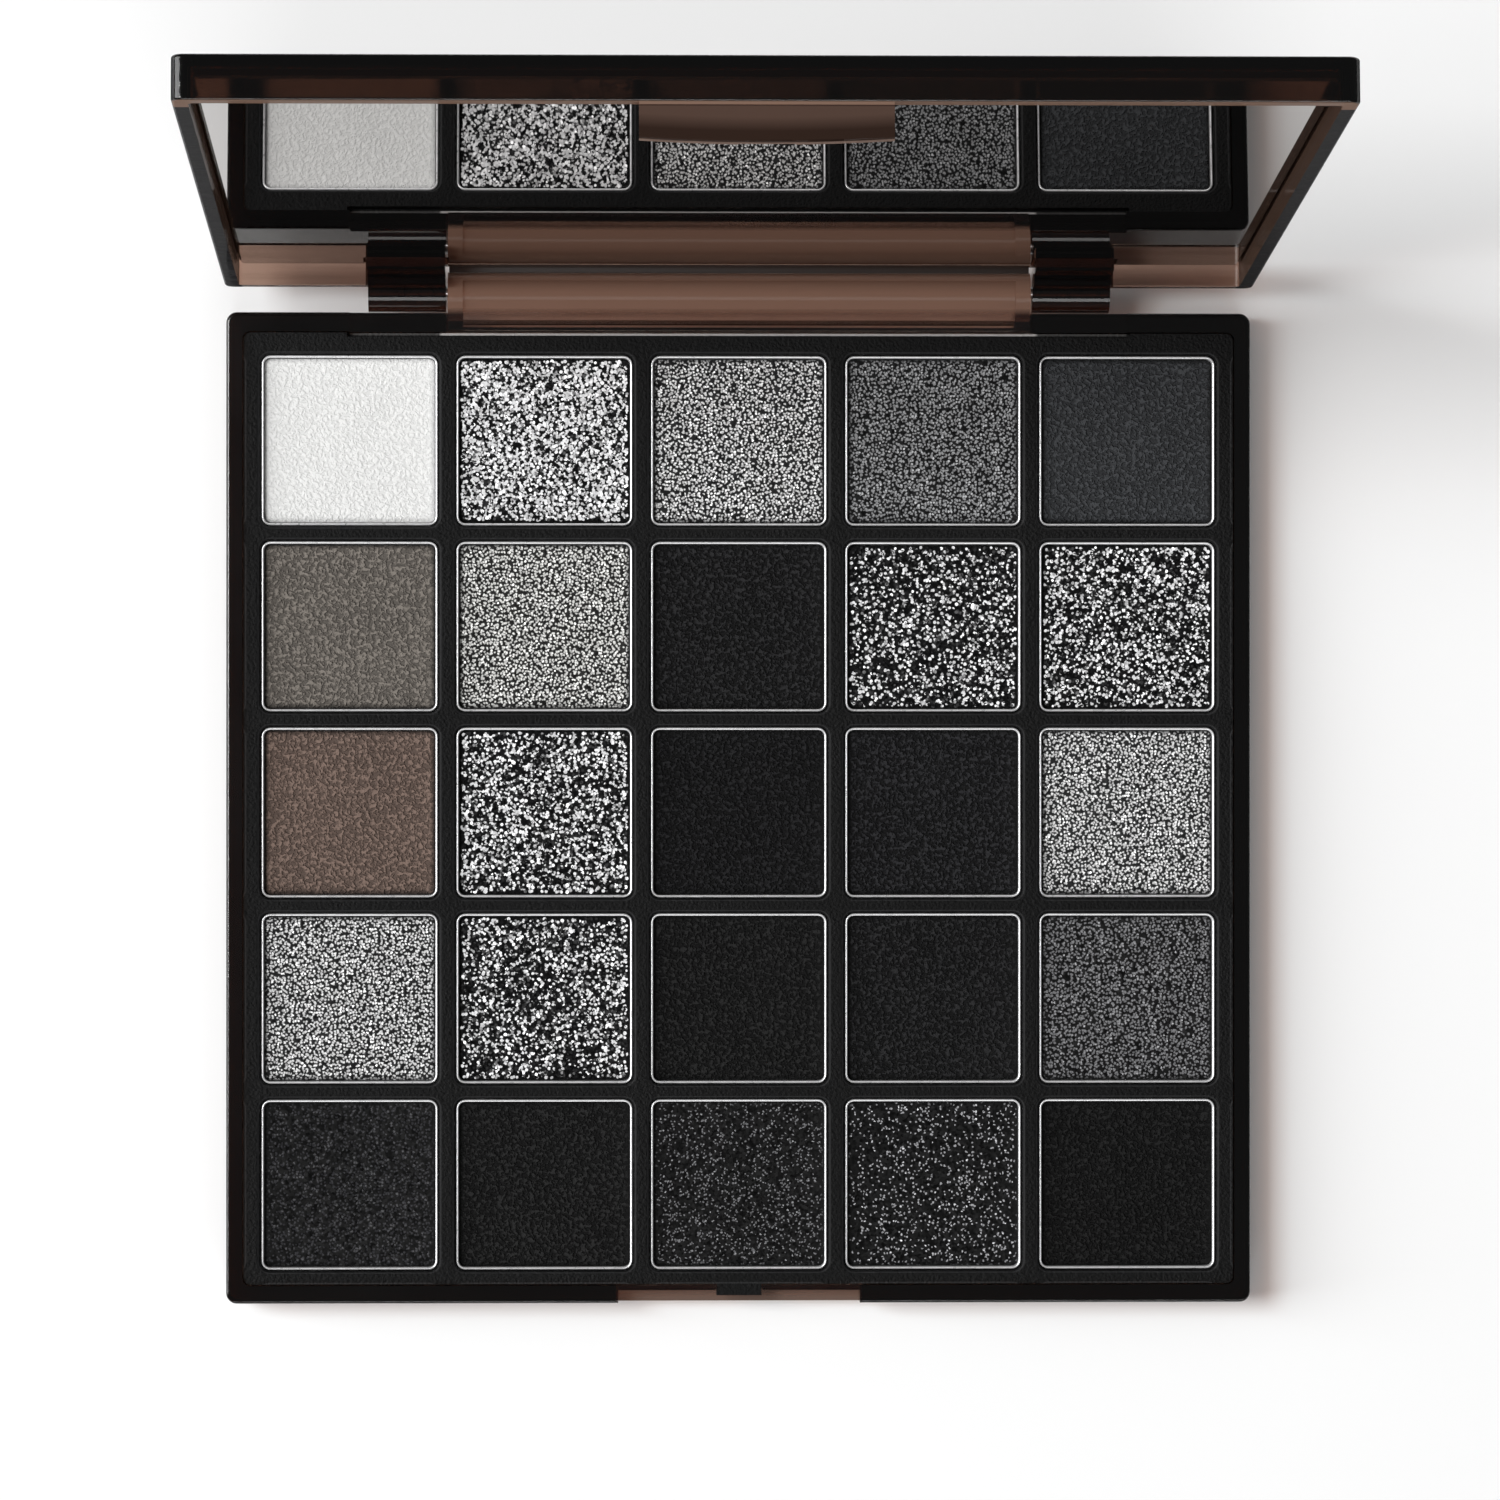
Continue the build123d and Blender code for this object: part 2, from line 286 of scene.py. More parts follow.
def tab_painted_light(tree, across, behind):
    """The thumb tab's painted shade and highlight: lighter by the lid, darker below, with a painted highlight
    line along its bowed end.
    """
    side = math_node(tree, "DIVIDE", across, tab_half)
    bow = math_node(tree, "MULTIPLY", outside(tree, both(tree, side, side)), tab_bow)
    from_end = math_node(tree, "ADD", math_node(tree, "ADD", behind, tab_drop), bow)
    # Painted shade: the tab darkens away from the lid.
    tone = mix_colour(tree, remap(tree, from_end, 1.6 * mm, 3.4 * mm, 0.0, 1.0),
                      (0.032, 0.018, 0.013, 1.0), (0.092, 0.056, 0.043, 1.0))
    # Painted highlight: a light line along the tab's bowed end.
    painted_end_highlight = remap(tree, from_end, 0.05 * mm, 0.20 * mm, 1.0, 0.0)
    return mix_colour(tree, painted_end_highlight, tone, (0.34, 0.235, 0.19, 1.0))


def shading_of_lid(tree, tint):
    """How the lid's plastic darkens: its arms and tab, its free edge, and its sides. Its dull coat holds
    painted light: painted shade and a painted highlight on the tab, a painted highlight along the free edge,
    and sides painted dark.
    """
    place = add(tree, "TexCoord")
    split = add(tree, "SeparateXYZ", {"Vector": place.outputs["Object"]})
    across = math_node(tree, "ABSOLUTE", split.outputs["X"])
    above = math_node(tree, "SUBTRACT", split.outputs["Z"], hinge_z)
    behind = math_node(tree, "SUBTRACT", split.outputs["Y"], hinge_y)
    behind = math_node(tree, "SUBTRACT", behind, math_node(tree, "MULTIPLY", above, lean_back))

    proud = remap(tree, behind, -0.5 * mm, -0.2 * mm, 1.0, 0.0)
    from_arm = math_node(tree, "ABSOLUTE", math_node(tree, "SUBTRACT", across, arm_middle))
    arms = both(tree, below_value(tree, from_arm, arm_half), below_value(tree, above, arm_top))
    thick = either(tree, proud, arms)
    edge = remap(tree, above, free_edge - 0.3 * mm, free_edge, 0.0, 1.0)
    tint = mix_colour(tree, edge, tint, (0.16, 0.095, 0.070, 1.0))
    tint = mix_colour(tree, thick, tint, (0.15, 0.092, 0.074, 1.0))

    outer = remap(tree, across, half_width - 0.45 * mm, half_width - 0.12 * mm, 0.0, 1.0)
    front = (0.0, -math.cos(open_lean), math.sin(open_lean))
    facing = add(tree, "VectorMath", {0: place.outputs["Normal"], 1: front}, operation="DOT_PRODUCT")
    rim = remap(tree, across, half_width - 2.6 * mm, half_width - 2.5 * mm, 0.0, 1.0)
    rim_face = both(tree, rim, remap(tree, facing.outputs["Value"], 0.85, 0.95, 0.0, 0.93))
    normal = add(tree, "SeparateXYZ", {"Vector": place.outputs["Normal"]})
    sideways = remap(tree, math_node(tree, "ABSOLUTE", normal.outputs["X"]), 0.85, 0.95, 0.0, 0.7)
    inner = both(tree, both(tree, sideways, rim), below_value(tree, across, half_width - 1.8 * mm))
    # Where the tab takes its painted shade and highlight.
    tab = both(tree, remap(tree, above, 100 * mm, 101 * mm, 0.0, 0.85), proud)
    # Painted highlight: a copper line along the free edge's parting face.
    painted_highlight = painted_lid_highlight(tree, edge, behind, outer)
    # The lid's outer sides and its side walls' rim faces are a dull dark grey: partly the smoke plastic's own
    # depth, partly painted shade standing in for their dim reflections.
    painted_dark_sides = either(tree, outer, rim_face)
    share = either(tree, either(tree, painted_dark_sides, either(tree, inner, tab)), painted_highlight)

    painted_skin = mix_colour(tree, above_value(tree, tab, 0.02), (0.095, 0.058, 0.042, 1.0),
                      tab_painted_light(tree, across, behind))
    # The painted dark grey of the sides.
    painted_skin = mix_colour(tree, above_value(tree, painted_dark_sides, 0.02), painted_skin, (0.024, 0.024, 0.025, 1.0))
    # The painted highlight's copper colour.
    painted_skin = mix_colour(tree, above_value(tree, painted_highlight, 0.02), painted_skin, (0.24, 0.15, 0.11, 1.0))
    return tint, share, painted_skin


def shading_of_base(tree, tint):
    """The base looks black where the tray stands behind it, and brown at the hinge and the thumb recess. On
    the barrel's back and the recess ledge a dull painted brown stands in for the light and highlights seen
    there.
    """
    place = add(tree, "TexCoord")
    split = add(tree, "SeparateXYZ", {"Vector": place.outputs["Object"]})
    across = math_node(tree, "ABSOLUTE", split.outputs["X"])
    by_block = outside(tree, above_value(tree, across, block_half))
    by_recess = outside(tree, above_value(tree, across, recess_half))
    at_back = above_value(tree, split.outputs["Y"], 66.0 * mm)
    at_front = below_value(tree, split.outputs["Y"], -68.0 * mm)
    recess = both(tree, at_front, by_recess)
    clear = either(tree, both(tree, at_back, by_block), recess)
    tint = mix_colour(tree, outside(tree, clear), tint, (0.16, 0.14, 0.13, 1.0))

    # Painted light: a flat dull brown over the barrel's back, in place of its highlights and the light seen
    # through it.
    barrel = remap(tree, split.outputs["Y"], hinge_y - 3.4 * mm, hinge_y - 2.4 * mm, 0.0, 0.8)
    barrel = both(tree, barrel, by_block)
    # Painted light: the recess ledge's flat brown stands in for the light seen through it.
    ledge = both(tree, recess, remap(tree, split.outputs["Z"], 4.7 * mm, 4.8 * mm, 0.0, 0.7))
    ledge = both(tree, ledge, below_value(tree, split.outputs["Z"], 5.1 * mm))
    painted_skin = mix_colour(tree, above_value(tree, ledge, 0.02), (0.25, 0.142, 0.102, 1.0),
                      (0.185, 0.130, 0.106, 1.0))
    return tint, either(tree, barrel, ledge), painted_skin


def smoke_plastic(name, per_mm, rough_low, rough_high, shading):
    """Clear smoke-brown plastic, darker the thicker it is, with a dull coat where its shading says so; that
    coat's colour is painted light and shade.
    """
    material, tree, output = new_material(name)
    grain = use_group(tree, moulded_grain, {"Place": own_place(tree), "Grain": 1.5})
    flow = add(tree, "TexNoise", {"Vector": own_place(tree, (0.03, 1.1, 1.1)), "Scale": 1.0, "Detail": 3.0})
    bump = add(tree, "Bump", {"Height": flow.outputs["Fac"], "Strength": 0.25, "Distance": 0.05 * mm})
    roughness = remap(tree, grain.outputs["Smudge"], 0.3, 0.7, rough_low, rough_high)
    streaks = remap(tree, flow.outputs["Fac"], 0.35, 0.65, 0.0, 1.0)
    tint = mix_colour(tree, streaks, (0.84, 0.80, 0.78, 1.0), (1.0, 0.98, 0.97, 1.0))
    tint, share, painted_skin = shading(tree, tint)
    glossy = add(tree, "BsdfPrincipled", {
        "Base Color": tint, "Roughness": roughness, "Normal": bump.outputs["Normal"],
        "Transmission Weight": 1.0, "IOR": 1.5,
    })
    # The dull coat carries the painted shade, painted highlights and painted see-through colour set by the
    # shading masks.
    dull = add(tree, "BsdfPrincipled", {"Base Color": painted_skin, "Roughness": 0.55, "Specular IOR Level": 0.0})
    surface = add(tree, "MixShader", {0: share, 1: glossy.outputs[0], 2: dull.outputs[0]})
    lit_through = add(tree, "BsdfTransparent", {"Color": lamp_tint})
    path = add(tree, "LightPath")
    through = add(tree, "MixShader", {0: path.outputs["Is Shadow Ray"], 1: surface.outputs[0],
                                      2: lit_through.outputs[0]})
    depth = add(tree, "VolumeAbsorption", {"Color": smoke_tint, "Density": per_mm / mm})
    tree.links.new(through.outputs[0], output.inputs["Surface"])
    tree.links.new(depth.outputs[0], output.inputs["Volume"])
    return material


def painted_opening_highlights(tree, split):
    """Painted highlight: a fine lighter line just outside each of the twenty-five pans, where the openings'
    edges would catch the light, in millimetres of the piece's own place.
    """
    first_low, first_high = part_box("pan_row5_col1")
    beside_low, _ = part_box("pan_row5_col2")
    behind_low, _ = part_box("pan_row4_col1")
    _, back_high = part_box("pan_row1_col1")
    corner = pan_corner / mm
    pan_to_line = 0.42
    lines = []
    for axis, low, high, following in (("X", first_low.x, first_high.x, beside_low.x),
                                       ("Y", first_low.y, first_high.y, behind_low.y)):
        apart = (following - low) / mm
        middle = (low + high) / 2 / mm
        half = (high - low) / 2 / mm
        moved = math_node(tree, "SUBTRACT", split.outputs[axis], middle - 0.5 * apart)
        turn = math_node(tree, "FLOORED_MODULO", moved, apart)
        off = math_node(tree, "ABSOLUTE", math_node(tree, "SUBTRACT", turn, 0.5 * apart))
        past_corner = math_node(tree, "SUBTRACT", off, half - corner)
        lines.append(math_node(tree, "MAXIMUM", past_corner, 0.0))
    squares = [math_node(tree, "MULTIPLY", line, line) for line in lines]
    reach = math_node(tree, "SQRT", math_node(tree, "ADD", squares[0], squares[1]))
    gap = math_node(tree, "ABSOLUTE", math_node(tree, "SUBTRACT", reach, corner + pan_to_line))
    line = remap(tree, gap, 0.06, 0.14, 1.0, 0.0)
    return both(tree, line, below_value(tree, split.outputs["Y"], back_high.y / mm + 0.8))


def grained_tray():
    """Black plastic with a moulded grain, a painted highlight line by the hinge, and a painted highlight line
    round each opening.
    """
    colour = (0.0024, 0.0024, 0.0025)
    back_edge = 69.2
    material, tree, output = new_material("grained black plastic")
    place = own_place(tree)
    grain = use_group(tree, moulded_grain, {"Place": place, "Grain": 2.4})
    bump = add(tree, "Bump", {"Height": grain.outputs["Height"], "Strength": 0.7, "Distance": 0.25 * mm})
    roughness = remap(tree, grain.outputs["Smudge"], 0.3, 0.7, 0.50, 0.62)
    shade = mix_colour(tree, remap(tree, grain.outputs["Height"], 0.5, 1.0, 0.0, 1.0), rgba(colour, 0.8),
                       rgba(colour, 1.3))
    split = add(tree, "SeparateXYZ", {"Vector": place})
    across = math_node(tree, "ABSOLUTE", split.outputs["X"])
    # Painted highlight: a light line along the tray's back edge by the hinge.
    by_hinge = both(tree, remap(tree, across, 43.5, 44.0, 1.0, 0.12), below_value(tree, across, 57.0))
    painted_highlight = both(tree, by_hinge, remap(tree, split.outputs["Y"], back_edge, back_edge + 0.06, 0.0, 1.0))
    shade = mix_colour(tree, painted_highlight, shade, (0.55, 0.54, 0.53, 1.0))
    # Painted highlight lines round the openings.
    shade = mix_colour(tree, math_node(tree, "MULTIPLY", painted_opening_highlights(tree, split), 0.8), shade,
                       (0.024, 0.024, 0.025, 1.0))
    shader = add(tree, "BsdfPrincipled", {"Base Color": shade, "Roughness": roughness,
                                          "Normal": bump.outputs["Normal"], "Specular IOR Level": 0.14})
    tree.links.new(shader.outputs[0], output.inputs["Surface"])
    return material


def drawn_metal(name, colour, roughness, metallic=1.0):
    """Pressed sheet metal with faint drawing lines and soft wear."""
    material, tree, output = new_material(name)
    lines = add(tree, "TexNoise", {"Vector": own_place(tree, (0.5, 0.5, 6.0)), "Scale": 2.0, "Detail": 4.0})
    patches = add(tree, "TexNoise", {"Vector": own_place(tree), "Scale": 0.8, "Detail": 3.0})
    bump = add(tree, "Bump", {"Height": lines.outputs["Fac"], "Strength": 0.3, "Distance": 0.02 * mm})
    rough = remap(tree, patches.outputs["Fac"], 0.3, 0.7, roughness * 0.8, roughness * 1.3)
    shade = mix_colour(tree, patches.outputs["Fac"], rgba(colour, 0.85), rgba(colour, 1.1))
    shader = add(tree, "BsdfPrincipled", {"Base Color": shade, "Metallic": metallic, "Roughness": rough,
                                          "Normal": bump.outputs["Normal"]})
    tree.links.new(shader.outputs[0], output.inputs["Surface"])
    return material


def silvered_glass():
    """The mirror: silver wherever it faces the front, with grey paint on its back and edges."""
    material, tree, output = new_material("silvered glass")
    place = add(tree, "TexCoord")
    mesh = nodes["mirror"].data
    largest = max(mesh.polygons, key=lambda p: p.area)
    back = largest.normal if largest.normal.y > 0 else -largest.normal
    facing = add(tree, "VectorMath", {0: place.outputs["Normal"], 1: tuple(back)}, operation="DOT_PRODUCT")
    painted = above_value(tree, facing.outputs["Value"], -0.3)
    paint_grain = add(tree, "TexNoise", {"Vector": own_place(tree), "Scale": 1.5, "Detail": 4.0})
    backing = mix_colour(tree, paint_grain.outputs["Fac"], (0.030, 0.030, 0.032, 1.0),
                         (0.055, 0.055, 0.057, 1.0))
    colour = mix_colour(tree, painted, (0.33, 0.315, 0.305, 1.0), backing)
    metallic = outside(tree, painted)
    roughness = remap(tree, painted, 0.0, 1.0, 0.012, 0.55)
    shader = add(tree, "BsdfPrincipled", {"Base Color": colour, "Metallic": metallic, "Roughness": roughness})
    tree.links.new(shader.outputs[0], output.inputs["Surface"])
    return material


dark_shade = 0.03
pale_shade = 0.3


def painted_lip_shade(tree, shade, lip_shade_strength):
    """Paints shade on a powder where it lies under the lip of its pan."""
    lip_shade = add(tree, "Attribute", attribute_name="lip_shade", attribute_type="GEOMETRY")
    share = math_node(tree, "MULTIPLY", lip_shade.outputs["Fac"], lip_shade_strength)
    return mix_colour(tree, share, shade, (0.002, 0.002, 0.002, 1.0))


def matte_powder(name, colour, drift, relief=1.0):
    """Pressed matte powder: soft, dry and slightly uneven in tone. The darkest have the deepest grain."""
    grain_depth = (0.45 if colour[0] < dark_shade else 0.30) * mm
    # How dark the painted shade by the lip is: lighter on pale powders.
    lip_shade_strength = 0.35 if colour[0] > pale_shade else 0.9
    material, tree, output = new_material(name)
    grain = use_group(tree, pressed_powder, {"Place": own_place(tree), "Crease": 1.9})
    bump = add(tree, "Bump", {"Height": grain.outputs["Height"], "Strength": relief, "Distance": grain_depth})
    tone = remap(tree, grain.outputs["Tone"], 0.25, 0.75, 0.0, 1.0)
    shade = mix_colour(tree, tone, rgba(colour, 1.0 - drift), rgba(colour, 1.0 + drift))
    shader = add(tree, "BsdfPrincipled", {
        "Base Color": painted_lip_shade(tree, shade, lip_shade_strength), "Roughness": 0.7,
        "Normal": bump.outputs["Normal"], "Specular IOR Level": 0.15,
    })
    tree.links.new(shader.outputs[0], output.inputs["Surface"])
    return material


def pearl_powder(name, bed, flake, size, tilt, share, roughness):
    """Pressed powder with pearl flakes, each tilted its own way, over a darker bed."""
    material, tree, output = new_material(name)
    place = own_place(tree)
    grain = use_group(tree, pressed_powder, {"Place": place, "Crease": 1.25})
    flakes = use_group(tree, pearl_flakes, {"Place": place, "Size": size, "Tilt": tilt, "Share": share})
    bump = add(tree, "Bump", {"Height": grain.outputs["Height"], "Strength": 0.5, "Distance": 0.05 * mm,
                              "Normal": flakes.outputs["Normal"]})
    bright = mix_colour(tree, flakes.outputs["Tone"], rgba(flake, 0.66), rgba(flake, 1.0))
    dull = mix_colour(tree, grain.outputs["Tone"], rgba(bed, 0.6), rgba(bed, 1.2))
    shown = both(tree, flakes.outputs["Flake"], flakes.outputs["Crown"])
    shader = add(tree, "BsdfPrincipled", {
        "Base Color": painted_lip_shade(tree, mix_colour(tree, shown, dull, bright), 0.9),
        "Metallic": math_node(tree, "MULTIPLY", shown, 0.18),
        "Roughness": remap(tree, shown, 0.0, 1.0, 0.7, roughness),
        "Normal": bump.outputs["Normal"], "Specular IOR Level": 0.2,
    })
    tree.links.new(shader.outputs[0], output.inputs["Surface"])
    return material


def glitter_flakes(name, silver, dark, share):
    """Cut glitter: silver flakes among dark ones, told apart by each flake's own tone."""
    material, tree, output = new_material(name)
    tone = add(tree, "Attribute", attribute_name="tone", attribute_type="GEOMETRY")
    is_silver = remap(tree, tone.outputs["Fac"], share - 0.04, share + 0.04, 1.0, 0.0)
    worn = add(tree, "TexNoise", {"Vector": own_place(tree), "Scale": 3.0, "Detail": 2.0})
    bright = mix_colour(tree, worn.outputs["Fac"], rgba(silver, 0.8), rgba(silver, 1.0))
    shade = mix_colour(tree, is_silver, rgba(dark), bright)
    roughness = remap(tree, worn.outputs["Fac"], 0.3, 0.7, 0.26, 0.42)
    shader = add(tree, "BsdfPrincipled", {"Base Color": shade, "Metallic": 0.12, "Roughness": roughness,
                                          "Specular IOR Level": 0.2})
    tree.links.new(shader.outputs[0], output.inputs["Surface"])
    return material


def mottled_finish(name, colour, roughness):
    """Film, tape, glue or dull plastic: one tone with a faint mottle and a soft bump."""
    material, tree, output = new_material(name)
    mottle = add(tree, "TexNoise", {"Vector": own_place(tree), "Scale": 1.2, "Detail": 5.0})
    bump = add(tree, "Bump", {"Height": mottle.outputs["Fac"], "Strength": 0.3, "Distance": 0.05 * mm})
    shade = mix_colour(tree, mottle.outputs["Fac"], rgba(colour, 0.8), rgba(colour, 1.15))
    shader = add(tree, "BsdfPrincipled", {"Base Color": shade, "Roughness": roughness,
                                          "Normal": bump.outputs["Normal"]})
    tree.links.new(shader.outputs[0], output.inputs["Surface"])
    return material


def paint(node, material):
    """Gives a CAD node its finish."""
    mesh = nodes[node].data
    mesh.materials.clear()
    mesh.materials.append(material)


paint("base_shell", smoke_plastic("smoke plastic base", 0.62, 0.10, 0.18, shading_of_base))
paint("lid_shell", smoke_plastic("smoke plastic lid", 0.9, 0.03, 0.09, shading_of_lid))
paint("pan_tray", grained_tray())
paint("mirror", silvered_glass())
paint("mirror_tape", mottled_finish("foam tape", (0.03, 0.03, 0.03), 0.8))
paint("bottom_label", mottled_finish("label film", (0.02, 0.02, 0.021), 0.35))
paint("pan_glue_dots", mottled_finish("set glue", (0.6, 0.55, 0.42), 0.4))
for side in ("left", "right"):
    paint(f"hinge_pin_{side}", drawn_metal(f"pin steel {side}", (0.55, 0.55, 0.56), 0.3))
pan_metal = drawn_metal("pan metal", (0.92, 0.92, 0.93), 0.30, 0.55)


# ---------------------------------------------------------------- mesh helpers

def finish_mesh(name, bm, material, body, smooth=True):
    """Makes a bmesh a piece that rides on a body, at the origin, with its place in its mesh."""
    bmesh.ops.recalc_face_normals(bm, faces=bm.faces[:])
    mesh = bpy.data.meshes.new(name)
    bm.to_mesh(mesh)
    bm.free()
    for polygon in mesh.polygons:
        polygon.use_smooth = smooth
    mesh.materials.append(material)
    piece = bpy.data.objects.new(name, mesh)
    bpy.context.scene.collection.objects.link(piece)
    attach(piece, body)
    return piece


def round_corner(x, y, half_w, half_d, radius):
    """Moves a point of a plain rectangle to its place in the same rectangle with round corners."""
    over_x = abs(x) - (half_w - radius)
    over_y = abs(y) - (half_d - radius)
    if over_x <= 0 or over_y <= 0:
        return x, y
    pull = max(over_x, over_y) / math.hypot(over_x, over_y)
    new_x = half_w - radius + over_x * pull
    new_y = half_d - radius + over_y * pull
    return math.copysign(new_x, x), math.copysign(new_y, y)


# ---------------------------------------------------------------- pans

pan_wall = 0.33 * mm
lip_round = 0.155 * mm
foot_round = 0.35 * mm


def make_pan(row, column):
    """A drawn metal pan with a rounded lip all round."""
    node = f"pan_row{row}_col{column}"
    low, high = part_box(node)
    centre = (low + high) / 2
    half_w = (high.x - low.x) / 2
    half_d = (high.y - low.y) / 2
    bm = bmesh.new()
    bmesh.ops.create_cube(bm, size=1.0)
    size = Matrix.Diagonal((2 * half_w, 2 * half_d, high.z - low.z, 1.0))
    bmesh.ops.transform(bm, matrix=Matrix.Translation(centre) @ size, verts=bm.verts)
    uprights = [e for e in bm.edges if abs(e.verts[0].co.z - e.verts[1].co.z) > mm]
    bmesh.ops.bevel(bm, geom=uprights, offset=pan_corner, segments=6, profile=0.5, affect="EDGES",
                    material=-1)
    top = max(bm.faces, key=lambda f: f.calc_center_median().z)
    bmesh.ops.inset_region(bm, faces=[top], thickness=pan_wall, use_even_offset=True)
    down = bmesh.ops.extrude_face_region(bm, geom=[top])
    moved = [v for v in down["geom"] if isinstance(v, bmesh.types.BMVert)]
    bmesh.ops.translate(bm, verts=moved, vec=(0, 0, low.z + pan_wall - high.z))
    bmesh.ops.delete(bm, geom=[top], context="FACES_ONLY")
    rim = [e for e in bm.edges if all(abs(v.co.z - high.z) < 1e-7 for v in e.verts)]
    rim = [e for e in rim if len(e.link_faces) == 2 and any(abs(f.normal.z) < 0.5 for f in e.link_faces)]
    bmesh.ops.bevel(bm, geom=rim, offset=lip_round, segments=3, profile=0.5, affect="EDGES", material=-1,
                    clamp_overlap=True)
    foot = [e for e in bm.edges if all(abs(v.co.z - low.z) < 1e-7 for v in e.verts)]
    bmesh.ops.bevel(bm, geom=foot, offset=foot_round, segments=2, profile=0.5, affect="EDGES", material=-1,
                    clamp_overlap=True)
    piece = finish_mesh(f"metal_pan_{row}_{column}", bm, pan_metal, "base")
    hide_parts(node)


# ---------------------------------------------------------------- powders

powder_corner = 0.88 * mm
below_lip = 0.42 * mm
glitter_bed = 0.62 * mm
flakes_from_top = 0.56 * mm
flake_margin = 0.35 * mm
flake_thickness = 0.02 * mm


def pressed_height(x, y, edge, grain, seed):
    """How high a pressed powder stands at a point, from its creased grain and its worn edge."""
    cells, _ = noise.voronoi(Vector((x / (0.95 * mm), y / (0.95 * mm), seed)))
    crease = min(cells[1] - cells[0], 0.35)
    swell = noise.noise(Vector((x / (7 * mm), y / (7 * mm), seed)))
    tooth = noise.noise(Vector((x / (0.45 * mm), y / (0.45 * mm), seed + 9)))
    wear = -0.30 * mm * max(0.0, 1.0 - edge / (0.7 * mm)) ** 2
    return grain * (0.20 * crease + 0.03 * tooth) * mm + 0.04 * swell * mm + wear


def make_powder(row, column, material, grain, sink):
    """One pressed powder, its top a fine mesh with its grain, worn down along its edges."""
    node = f"powder_row{row}_col{column}"
    low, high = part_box(node)
    centre = (low + high) / 2
    half_w = (high.x - low.x) / 2
    half_d = (high.y - low.y) / 2
    bm = bmesh.new()
    bmesh.ops.create_grid(bm, x_segments=104, y_segments=100, size=1.0)
    top = high.z - sink
    lip_shade = bm.verts.layers.float.new("lip_shade")
    for vert in bm.verts:
        x = vert.co.x * half_w
        y = vert.co.y * half_d
        edge = min(half_w - abs(x), half_d - abs(y))
        # Painted shade: the share of darkening, strongest at the pan's lip.
        vert[lip_shade] = max(0.0, 1.0 - edge / (0.75 * mm))
        x, y = round_corner(x, y, half_w, half_d, powder_corner)
        rise = pressed_height(x, y, edge, grain, 10.0 * row + column)
        vert.co = Vector((centre.x + x, centre.y + y, top + rise))
    border = [e for e in bm.edges if e.is_boundary]
    sides = bmesh.ops.extrude_edge_only(bm, edges=border)
    lower = [v for v in sides["geom"] if isinstance(v, bmesh.types.BMVert)]
    for vert in lower:
        vert.co.z = low.z
    ring = [e for e in sides["geom"] if isinstance(e, bmesh.types.BMEdge) and e.is_boundary]
    bmesh.ops.edgeloop_fill(bm, edges=ring)
    piece = finish_mesh(f"powder_{row}_{column}", bm, material, "base")
    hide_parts(node)


def make_flakes(row, column, material, count, size, tilt, lift, seed):
    """Cut glitter flakes, strewn over a powder so that they overlap, each at its own tilt and turn."""
    node = f"powder_row{row}_col{column}"
    low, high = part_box(node)
    centre = (low + high) / 2
    half_w = (high.x - low.x) / 2 - flake_margin
    half_d = (high.y - low.y) / 2 - flake_margin
    dice = random.Random(seed)
    bm = bmesh.new()
    bmesh.ops.create_grid(bm, x_segments=count, y_segments=count, size=1.0)
    step = 2.0 / count
    bmesh.ops.split_edges(bm, edges=bm.edges[:])
    bmesh.ops.bevel(bm, geom=bm.verts[:], offset=0.27 * step, segments=1, profile=0.5, affect="VERTICES",
                    material=-1)
    tone = bm.verts.layers.float.new("tone")
    for face in bm.faces:
        middle = face.calc_center_median()
        x = (middle.x + dice.uniform(-0.55, 0.55) * step) * half_w
        y = (middle.y + dice.uniform(-0.55, 0.55) * step) * half_d
        x = max(-half_w, min(half_w, x))
        y = max(-half_d, min(half_d, y))
        x, y = round_corner(x, y, half_w, half_d, powder_corner)
        lean = Euler((dice.gauss(0, tilt), dice.gauss(0, tilt), dice.uniform(0, math.tau)))
        turn = lean.to_matrix()
        scale = size * mm * dice.uniform(0.65, 1.25) / step
        rise = dice.uniform(0.0, 1.0) * lift * mm
        place = Vector((centre.x + x, centre.y + y, high.z - flakes_from_top + rise))
        shade = dice.random()
        for vert in face.verts:
            arm = vert.co - middle
            vert.co = place + turn @ (arm * scale)
            vert[tone] = shade
    bmesh.ops.solidify(bm, geom=bm.faces[:], thickness=flake_thickness)
    finish_mesh(f"glitter_{row}_{column}", bm, material, "base", smooth=False)


silver = (0.98, 0.98, 0.99)
dark_flake = (0.006, 0.006, 0.0065)


def matte(row, column, drift, relief):
    """A matte powder. Its slot's colour is made lighter or darker, as the lamps fall on it."""
    node = f"powder_row{row}_col{column}"
    colour = colours[slots[node]]
    strength = 0.98 if (row, column) == white_pan else 0.62 if colour[0] < dark_shade else 1.13
    powder = matte_powder(f"matte powder {row} {column}", [strength * c for c in colour], drift, relief)
    make_powder(row, column, powder, relief, below_lip)


def pearl(row, column, flake, size, tilt, share, roughness):
    """A powder with pearl grains over a bed that is much darker than its slot's colour."""
    node = f"powder_row{row}_col{column}"
    bed = rgba(colours[slots[node]], 0.07)
    material = pearl_powder(f"pearl powder {row} {column}", bed, flake, size, tilt, share, roughness)
    make_powder(row, column, material, 1.0, below_lip)


def glitter(row, column, share, count, size, seed):
    """Cut flakes, count times count of them, over a black powder. Share is how many of them are silver."""
    bed = matte_powder(f"glitter bed {row} {column}", dark_flake, 0.2)
    make_powder(row, column, bed, 1.0, glitter_bed)
    flakes = glitter_flakes(f"glitter flakes {row} {column}", silver, dark_flake, share)
    make_flakes(row, column, flakes, count, size, 0.32, 0.30, seed)


